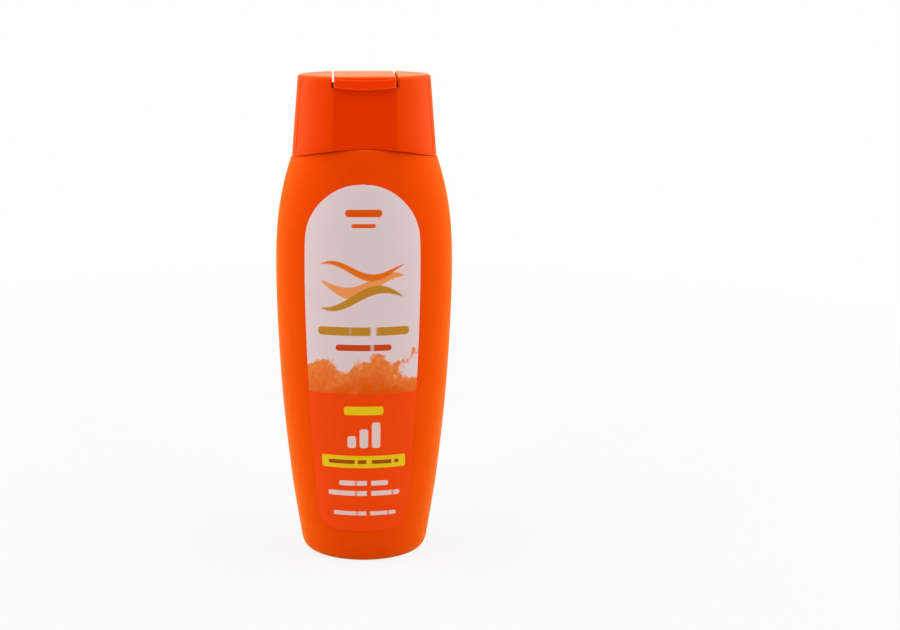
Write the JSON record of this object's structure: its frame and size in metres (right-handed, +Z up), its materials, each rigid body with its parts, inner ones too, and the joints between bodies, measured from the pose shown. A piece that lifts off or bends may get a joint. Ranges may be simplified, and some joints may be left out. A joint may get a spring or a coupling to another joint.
{
  "type": "lotion bottle",
  "caption": "Oval squeeze bottle for sun lotion, with a press-on flip-top closure, a lid on a bow-tie hinge and a plain label on the front and on the back.",
  "frame": {"origin": "on the ground under the middle of the bottle", "axes": "+Z up along the bottle, +X across its width to the right as seen from the front, the front towards -Y, the hinge towards +Y"},
  "size_m": [0.0638, 0.0374, 0.178],
  "materials": {
    "bottle_plastic": "satin blow-moulded polyethylene",
    "closure_plastic": "satin injection-moulded polypropylene",
    "front_label_film": "printed film, satin",
    "back_label_film": "printed film, satin"
  },
  "bodies": {
    "bottle": {"bottle_shell": "bottle_plastic", "closure_base": "closure_plastic", "front_label": "front_label_film", "back_label": "back_label_film", "hinge_strap_lower": "closure_plastic", "hinge_wing_left_lower": "closure_plastic", "hinge_wing_right_lower": "closure_plastic"},
    "lid": {"flip_lid": "closure_plastic", "hinge_strap_upper": "closure_plastic", "hinge_wing_left_upper": "closure_plastic", "hinge_wing_right_upper": "closure_plastic"}
  },
  "joints": [
    {"name": "lid_hinge", "type": "hinge", "parent": "bottle", "child": "lid", "pos_m": [0, 0.01498, 0.17414], "axis": [-1, 0, 0], "range_deg": [0, 150]}
  ]
}
